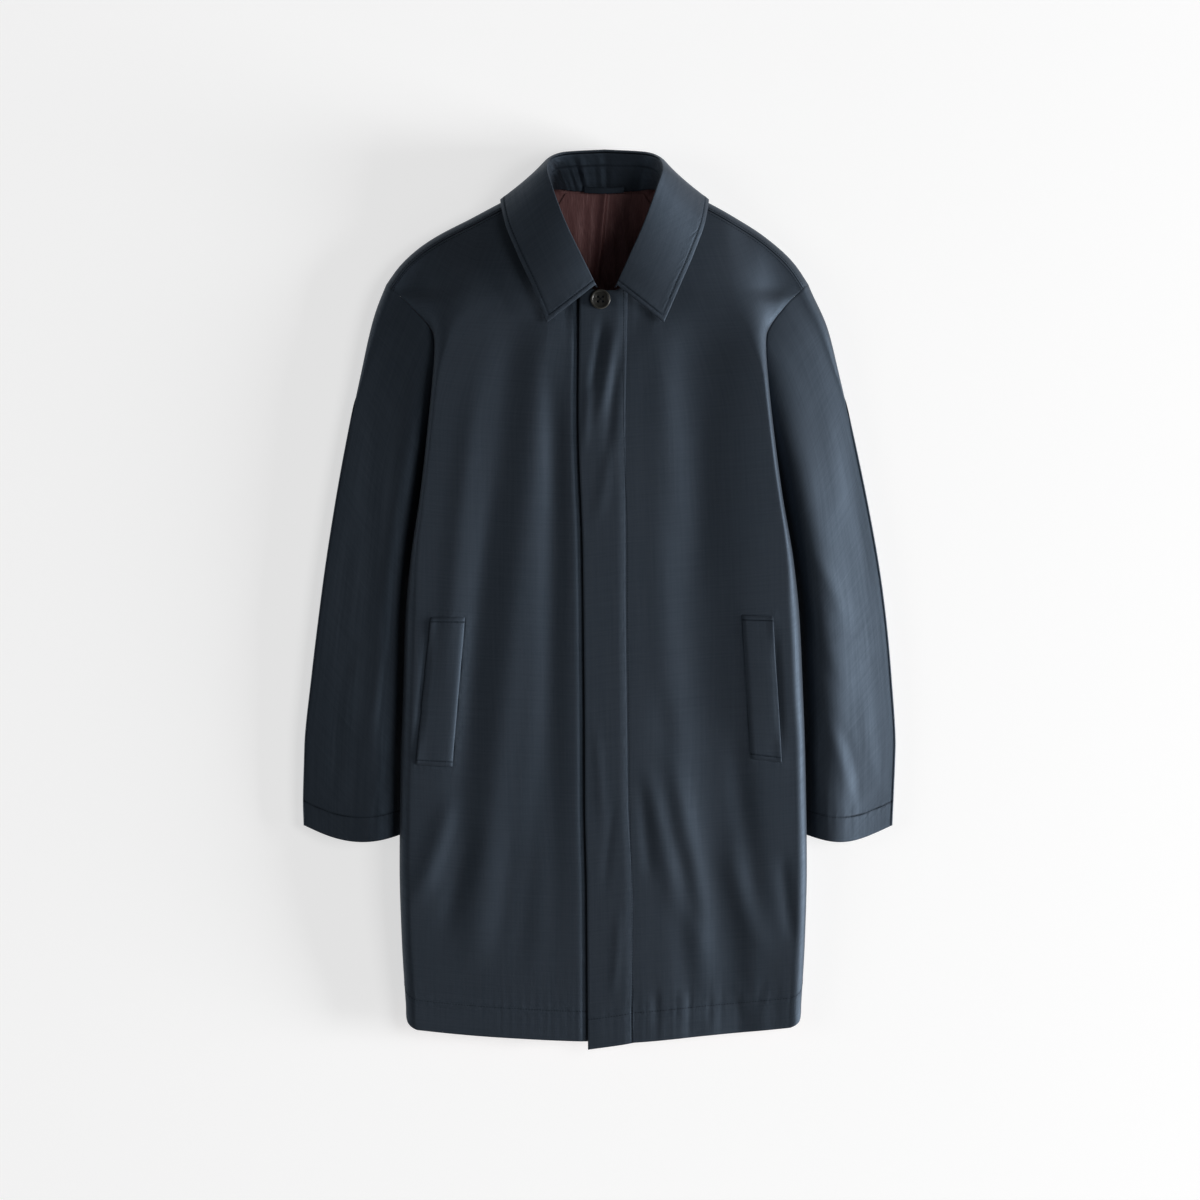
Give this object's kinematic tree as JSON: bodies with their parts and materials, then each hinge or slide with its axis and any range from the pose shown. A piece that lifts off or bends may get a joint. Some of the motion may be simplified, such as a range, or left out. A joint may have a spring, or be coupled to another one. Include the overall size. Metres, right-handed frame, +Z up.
{
  "type": "fly-front coat",
  "caption": "Navy single-breasted coat with a hidden fly front, turn-down collar and slanted welt pockets, lying flat on its back.",
  "frame": {"origin": "on the surface the coat lies on, under the middle of its outline seen from above", "axes": "+X towards the wearer's left sleeve, +Y from hem to collar, +Z up from the surface through back and front"},
  "size_m": [0.6512, 0.99, 0.071],
  "materials": {
    "navy_cloth": "closely woven cotton with a slight sheen",
    "burgundy_lining": "smooth satin lining",
    "button_plastic": "satin, worn paler at the rim"
  },
  "bodies": {
    "root": {"back": "navy_cloth", "back_side_left": "navy_cloth", "back_side_right": "navy_cloth", "back_shoulder_left": "navy_cloth", "back_shoulder_right": "navy_cloth", "front_left": "navy_cloth", "front_left_under": "navy_cloth", "front_right": "navy_cloth", "front_right_under": "navy_cloth", "placket": "navy_cloth", "sleeve_left": "navy_cloth", "sleeve_left_fore": "navy_cloth", "sleeve_right": "navy_cloth", "sleeve_right_fore": "navy_cloth", "collar_fall": "navy_cloth", "collar_stand": "navy_cloth", "welt_left": "navy_cloth", "welt_right": "navy_cloth", "hanger_loop": "navy_cloth", "back_lining": "burgundy_lining", "button": "button_plastic"}
  },
  "joints": []
}
